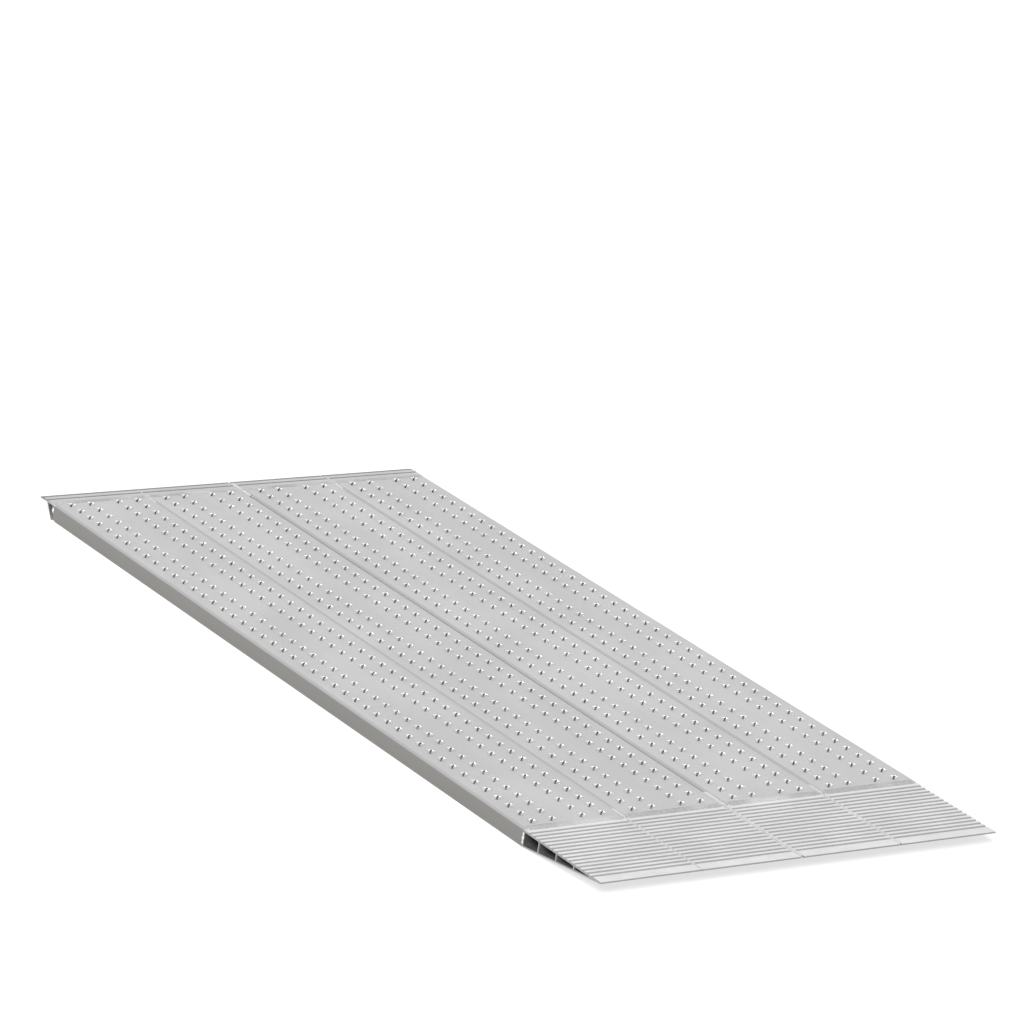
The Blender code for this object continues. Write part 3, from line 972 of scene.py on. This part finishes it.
@dataclass(kw_only=True)
class ToeWedge(Extrusion):
    """The ribbed, hollow wedge at a plank's foot."""

    slot: Slot = Slot.RIB
    end: End = End.TOE
    tip_thickness: float = 0.004
    tip_round: float = 0.0012
    roof: float = 0.005
    floor: float = 0.003
    web: float = 0.003
    first_web: float = 0.053
    web_spacing: float = 0.059
    lowest_hollow: float = 0.001
    nose: float = 0.030
    groove_pitch: float = 0.01514
    first_groove: float = 0.0195
    groove_depth: float = 0.0022
    groove_mouth: float = 0.0076
    groove_floor: float = 0.0040
    rib_ease: float = 0.0007
    cell_ease: float = 0.0016

    def outlines(self) -> list[list[Flat]]:
        """Draws the wedge's section.

        Returns:
            The outer outline and its hollows: along from the joint, and up.
        """
        slope = (self.top - self.tip_thickness) / self.length
        tip, ease = self.length, self.tip_round
        points = [(0.0, 0.0), (tip - ease, tip * slope - ease * slope), (tip, tip * slope + ease),
                  (tip, self.top - ease), (tip - ease, self.top)]
        count = int(round((tip - self.nose - self.first_groove) / self.groove_pitch, 3)) + 1
        for number in reversed(range(count)):
            middle = self.first_groove + number * self.groove_pitch
            mouth, floor, bottom = self.groove_mouth / 2, self.groove_floor / 2, self.top - self.groove_depth
            points += [(middle + mouth, self.top), (middle + floor, bottom)]
            points += [(middle - floor, bottom), (middle - mouth, self.top)]
        points += [(0.0, self.top)]
        return [eased(points, self.rib_ease, self.facets), *self.cells(slope)]

    def is_painted_dark(self, along: float, up: float) -> bool:
        """The tip's front face is painted dark."""
        return along > self.length - self.margin

    def cells(self, slope: float) -> list[list[Flat]]:
        """Draws the hollows between the end wall, the webs and the solid nose.

        Args:
            slope: How steeply the wedge's underside rises.

        Returns:
            Their outlines.
        """
        ceiling = self.top - self.roof
        last = (ceiling - self.floor - self.lowest_hollow) / slope
        count = int((last - self.first_web - self.web) / self.web_spacing) + 1
        webs = [self.first_web + number * self.web_spacing for number in range(count)]
        starts = [self.web, *[place + self.web / 2 for place in webs]]
        ends = [*[place - self.web / 2 for place in webs], last]
        cells = []
        for start, end in zip(starts, ends):
            low_start, low_end = start * slope + self.floor, end * slope + self.floor
            corners = [(start, low_start), (end, low_end), (end, ceiling), (start, ceiling)]
            cells.append(eased(corners, self.cell_ease, self.facets))
        return cells


@dataclass(kw_only=True)
class TopLip(Extrusion):
    """The plate on the vehicle's floor, with a groove, a bevelled nose and a slanted leg."""

    end: End = End.LIP
    plate: float = 0.005
    nose_thickness: float = 0.002
    bevel: float = 0.015
    web: float = 0.003
    leg: float = 0.004
    leg_reach: float = 0.027
    groove_inset: float = 0.030
    groove_width: float = 0.0050
    groove_depth: float = 0.0016
    ease: float = 0.0006
    hollow_ease: float = 0.0012
    margin: float = 0.0001
    facets: int = 2

    def outlines(self) -> list[list[Flat]]:
        """Draws the lip's section.

        Returns:
            The outer outline and its hollow: along from the joint, and up.
        """
        under = self.top - self.plate
        groove, half = self.length - self.groove_inset, self.groove_width / 2
        outer = [(0.0, 0.0), (self.leg, 0.0), (self.leg_reach, under), (self.length, under)]
        outer += [(self.length, under + self.nose_thickness), (self.length - self.bevel, self.top)]
        outer += [(groove + half, self.top), (groove, self.top - self.groove_depth)]
        outer += [(groove - half, self.top), (0.0, self.top)]
        steepness = under / (self.leg_reach - self.leg)
        reach = self.leg_reach - self.leg * math.hypot(1, steepness) / steepness
        lowest = under - (reach - self.web) * steepness
        hollow = [(self.web, lowest), (reach, under), (self.web, under)]
        return [eased(outer, self.ease, self.facets), eased(hollow, self.hollow_ease, self.facets)]

    def is_painted_dark(self, along: float, up: float) -> bool:
        """The groove and the bevel are painted dark, as painted shade.

        Args:
            along: How far the point lies from the joint.
            up: Its height.

        Returns:
            Whether the point lies in one of them.
        """
        beside = abs(along - self.length + self.groove_inset)
        groove = beside < self.groove_width / 2 + self.margin and up > self.top - 2 * self.groove_depth
        bevel = along > self.length - self.bevel + self.ease / 2 and up > self.top - self.plate + self.ease
        return groove or bevel


@dataclass(kw_only=True)
class Bead(Piece):
    """A weld bead, built in rows along its run; marked is the slice of a row that has the mark wear."""

    seed: float
    marked: tuple[int | None, ...]
    wear_and_painted_light: float = RUBBED_AND_HIGHLIGHT
    slot: Slot = Slot.WELD

    def rows(self) -> Rows:
        """Each row's upper and lower points."""
        raise NotImplementedError

    def build(self) -> None:
        """Closes the bead round its rows and hands it over."""
        self.low, self.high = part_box(self.node)
        rows = list(self.rows())
        top = [[upper for upper, _ in row] for row in rows]
        shape = Shape()
        shape.slab(top, [[lower for _, lower in row] for row in rows])
        for row in top:
            # The marked slice is painted: a highlight on seam and side beads, soot along the joint beads'
            # edges.
            shape.mark(row[slice(*self.marked)], self.wear_and_painted_light)
        self.hand_over(shape)


@dataclass(kw_only=True)
class JointBead(Bead):
    """The broad, rough bead across a plank's joint with its toe or its lip."""

    joint: float
    deck: float
    drop: float
    drop_length: float = 0.006
    edge_inset: float = 0.0004
    edge_wander: float = 0.0007
    wander_size: float = 0.012
    second_edge: float = 5.0
    crown: float = 0.0009
    fullness: float = 0.6
    least: float = 0.00008
    sink: float = 0.0008
    ripple: float = 0.00016
    ripple_pitch: float = 0.0042
    bow: float = 1.4
    lump: float = 0.0003
    lump_size: float = 0.007
    crumb: float = 0.0002
    crumb_size: float = 0.0025
    step: float = 0.0016
    columns: int = 12
    marked: tuple[int | None, ...] = (0, None, 12)
    wear_and_painted_light: float = -0.6

    def rows(self) -> Rows:
        """Builds the bead across the plank.

        Yields:
            Each row's upper and lower points.
        """
        low, high = self.low, self.high
        count = round((high.x - low.x) / self.step)
        for row in range(count + 1):
            x = low.x + (high.x - low.x) * row / count
            start = high.y - self.edge_inset + self.wander(x, self.seed)
            stop = low.y + self.edge_inset + self.wander(x, self.seed + self.second_edge)
            points = []
            for column in range(self.columns + 1):
                share = column / self.columns
                y = start + (stop - start) * share
                base = self.base(y)
                points.append(((x, y, base + self.rise(x, y, share)), (x, y, base - self.sink)))
            yield points

    def wander(self, x: float, seed: float) -> float:
        """How far an edge of the bead strays along the ramp."""
        return self.edge_wander * wobble(x, 0, self.wander_size, seed)

    def base(self, y: float) -> float:
        """The height of what the bead lies on: the deck, or the toe below it."""
        share = min(max((self.joint + self.drop_length / 2 - y) / self.drop_length, 0.0), 1.0)
        return self.deck - self.drop * share * share * (3 - 2 * share)

    def rise(self, x: float, y: float, share: float) -> float:
        """A low crown with bowed ripples, lumps and crumbs.

        Args:
            x: The place across the ramp.
            y: The place along it.
            share: The place from the bead's upper edge, at 0, to its lower edge.

        Returns:
            How far the bead stands up.
        """
        arch = 4 * share * (1 - share)
        phase = 2 * math.pi * (x / self.ripple_pitch + self.bow * (share - 0.5) ** 2)
        lumps = (self.lump * wobble(x, y, self.lump_size, self.seed)
                 + self.crumb * wobble(x, y, self.crumb_size, self.seed))
        lift = self.crown * arch ** self.fullness + arch * (self.ripple * math.sin(phase) + lumps)
        return max(self.least, lift)


@dataclass(kw_only=True)
class SeamBead(Bead):
    """A bead along a seam: over it on the toes and lips, or down in a valley of the deck."""

    surface: float
    shoulder: float = 0.0
    crown: float = 0.0010
    fullness: float = 0.7
    sink: float = 0.0026
    ripple: float = 0.00022
    ripple_pitch: float = 0.0034
    bow: float = 0.45
    lump: float = 0.00028
    lump_size: float = 0.004
    wander: float = 0.12
    wander_size: float = 0.006
    step: float = 0.0009
    columns: int = 10
    marked: tuple[int | None, ...] = (3, 8)
    taper: float = 0.004
    end_width: float = 0.35
    crater: Flat = (0.0, 0.0)
    crater_depth: float = 0.0020
    crater_width: float = 2.4
    run_on: float = 0.0

    def rows(self) -> Rows:
        """Builds the bead along the seam.

        Yields:
            Each row's upper and lower points.
        """
        low, high = self.low, self.high
        middle, half = (low.x + high.x) / 2, (high.x - low.x) / 2
        start = low.y - self.run_on
        base = self.surface - self.shoulder
        count = round((high.y - start) / self.step)
        for row in range(count + 1):
            y = start + (high.y - start) * row / count
            wide = half * (1 + self.wander * wobble(y, 0, self.wander_size, self.seed))
            fade = math.sqrt(min(min(y - start, high.y - y) / self.taper, 1.0))
            points = []
            for column in range(self.columns + 1):
                side = 2 * column / self.columns - 1
                x = middle + side * wide * (self.end_width + (1 - self.end_width) * fade)
                z = base + fade * self.rise(x, y, side, high.y - y)
                points.append(((x, y, z), (x, y, base - self.sink)))
            yield points

    def rise(self, x: float, y: float, side: float, before_end: float) -> float:
        """A crown with ripples bowed along its run, and a crater where the bead has one.

        Args:
            x: The place across the ramp.
            y: The place along it.
            side: The place across the bead, from -1 to 1.
            before_end: How far the bead's upper end is.

        Returns:
            How far the bead stands up.
        """
        arch = 1 - side * side
        phase = 2 * math.pi * (y / self.ripple_pitch - self.bow * side * side)
        lumps = self.lump * wobble(x, y, self.lump_size, self.seed)
        lift = self.crown * arch ** self.fullness + arch * (self.ripple * math.sin(phase) + lumps)
        start, stop = self.crater
        if start < before_end < stop:
            share = math.sin(math.pi * (before_end - start) / (stop - start))
            lift -= self.crater_depth * share * max(0.0, 1 - (side * self.crater_width) ** 2)
        return lift


@dataclass(kw_only=True)
class SideBead(Bead):
    """An upright bead at the end of an outer wall, thickest by its foot, its middle and its top."""

    side: Side
    crown: float = 0.0020
    fullness: float = 0.7
    least: float = 0.0002
    sink: float = 0.0012
    girth: float = 0.7
    swell: float = 0.5
    lump: float = 0.3
    lump_size: float = 0.004
    step: float = 0.0007
    columns: int = 8
    marked: tuple[int | None, ...] = (1, -1)

    def rows(self) -> Rows:
        """Builds the bead up the wall.

        Yields:
            Each row's outer and inner points.
        """
        low, high = self.low, self.high
        face = low.x if self.side is Side.RIGHT else high.x
        count = round((high.z - low.z) / self.step)
        for row in range(count + 1):
            share = row / count
            z = low.z + (high.z - low.z) * share
            fade = math.sqrt(min(1.0, 6 * min(share, 1 - share)))
            lumps = self.lump * wobble(z, 0, self.lump_size, self.seed)
            thick = self.girth + self.swell * math.cos(share * 4 * math.pi) + lumps
            half = (high.y - low.y) / 2 * (0.4 + 0.3 * fade + 0.6 * max(0.0, thick))
            points = []
            for column in range(self.columns + 1):
                aside = 2 * column / self.columns - 1
                y = (low.y + high.y) / 2 + aside * half
                arch = (1 - aside * aside) ** self.fullness
                lift = self.least + fade * self.crown * max(0.15, thick) * arch
                inner = face - self.side.value * self.sink
                points.append(((face + self.side.value * lift, y, z), (inner, y, z)))
            yield points


@dataclass
class Ramp:
    """The whole ramp: its pieces by kind, in the order in which they are built."""

    planks: int = 4
    seams: int = 3
    toe_drop: float = 0.0015
    toe_wear: float = -0.15
    toe_run_on: float = 0.015
    shoulder_drop: float = 0.0010
    valley_crown: float = 0.0012
    crater: Flat = (0.005, 0.023)

    def build(self) -> None:
        """Builds and dresses every piece."""
        mill = MillFinish().material()
        rib = RibFinish().material()
        weld = WeldFinish().material()
        for number in range(1, self.planks + 1):
            plank = DeckPlank(node=f"deck_plank_{number}", finish=mill, seed=number)
            plank.build()
            deck = plank.deck
            ToeWedge(node=f"toe_wedge_{number}", finish=rib).build()
            TopLip(node=f"top_lip_{number}", finish=mill).build()
            JointBead(node=f"toe_weld_{number}", finish=weld, seed=10.0 + number, joint=plank.low,
                      deck=deck, drop=self.toe_drop, wear_and_painted_light=self.toe_wear).build()
            JointBead(node=f"lip_weld_{number}", finish=weld, seed=20.0 + number, joint=plank.top,
                      deck=deck, drop=0.0).build()
        for number in range(1, self.seams + 1):
            self.build_seam(number, deck, weld)
        for side in Side:
            for end in End:
                SideBead(node=f"{side.name.lower()}_{end.name.lower()}_weld", finish=weld,
                         seed=50.0 + side.value, side=side).build()

    def build_seam(self, number: int, deck: float, weld: Material) -> None:
        """The four beads along one seam.

        Args:
            number: The seam's number, from the left.
            deck: The deck's height.
            weld: The beads' material.
        """
        valley = {"surface": deck, "shoulder": self.shoulder_drop, "crown": self.valley_crown}
        kinds = (
            ("toe", 30.0, {"surface": deck - self.toe_drop, "run_on": self.toe_run_on}),
            ("lip", 33.0, {"surface": deck}),
            ("low", 36.0, valley),
            ("high", 39.0, {**valley, "crater": self.crater}),
        )
        for kind, seed, sizes in kinds:
            node = f"{kind}_seam_weld_{number}"
            SeamBead(node=node, finish=weld, seed=seed + number, **sizes).build()


@dataclass
class Studio:
    """The floor, the light and the camera."""

    floor_reach: float = 30.0
    focal_length: float = 197.54
    sensor: float = 36.0
    eye: Point = (-6.6821, -8.8438, 4.0617)
    right: Point = (0.81838, -0.55613, 0.14484)
    up: Point = (0.06661, 0.34213, 0.93729)
    back: Point = (-0.57081, -0.75741, 0.31703)
    key_place: Point = (-5.8, -5.3, 6.4)
    key_spread: float = math.radians(25)
    key_strength: float = 4.5
    fill_light: float = 0.45
    far_clip: float = 200.0

    def build(self) -> None:
        """Sets up the whole studio."""
        self.build_floor()
        self.build_light()
        self.build_world()
        self.build_camera()
        bpy.context.scene.view_settings.view_transform = "Standard"

    def build_floor(self) -> None:
        """A wide floor under the ramp."""
        body = bmesh.new()
        bmesh.ops.create_grid(body, x_segments=2, y_segments=2, size=self.floor_reach)
        mesh = bpy.data.meshes.new("pale_floor")
        body.to_mesh(mesh)
        body.free()
        mesh.materials.append(FloorFinish().material())
        floor = new_object("pale_floor", mesh)
        floor.location.z = CAD_BOX[0][2]
        floor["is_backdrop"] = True

    def build_light(self) -> None:
        """One wide, even key light from above the camera, a little to its left."""
        lamp = bpy.data.lights.new("key_light", "SUN")
        lamp.angle = self.key_spread
        lamp.energy = self.key_strength
        item = new_object("key_light", lamp)
        item.location = self.key_place
        item.rotation_euler = Vector(self.key_place).to_track_quat("Z", "Y").to_euler()

    def build_world(self) -> None:
        """White for what the camera and the metal see, and a softer fill for the rest."""
        world = bpy.data.worlds.new("studio_world")
        bpy.context.scene.world = world
        graph = Graph(world)
        seen = graph.background_rays()
        strength = self.fill_light + seen * (1.0 - self.fill_light)
        white = graph.add("ShaderNodeBackground", sockets={"Strength": strength})
        graph.add("ShaderNodeOutputWorld", sockets={"Surface": white})

    def build_camera(self) -> None:
        """The photograph's camera, in the frame of the ramp that lies flat."""
        lens = bpy.data.cameras.new("camera")
        lens.sensor_width = self.sensor
        lens.lens = self.focal_length
        lens.clip_end = self.far_clip
        camera = new_object("camera", lens)
        turn = Matrix((self.right, self.up, self.back)).transposed().to_4x4()
        camera.matrix_world = Matrix.Translation(self.eye) @ turn
        bpy.context.scene.camera = camera


def write_sizes() -> None:
    """Gathers the CAD box and the visual model's box as lists of corners; nothing is written."""
    boxes = {"cad": CAD_BOX, "visual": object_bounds()}
    lists = {name: [list(corner) for corner in box] for name, box in boxes.items()}


def main() -> None:
    """Builds the ramp and the studio."""
    logging.basicConfig(level=logging.INFO, format="%(name)s: %(message)s")
    Ramp().build()
    Studio().build()
    write_sizes()


if __name__ == "__main__":
    main()
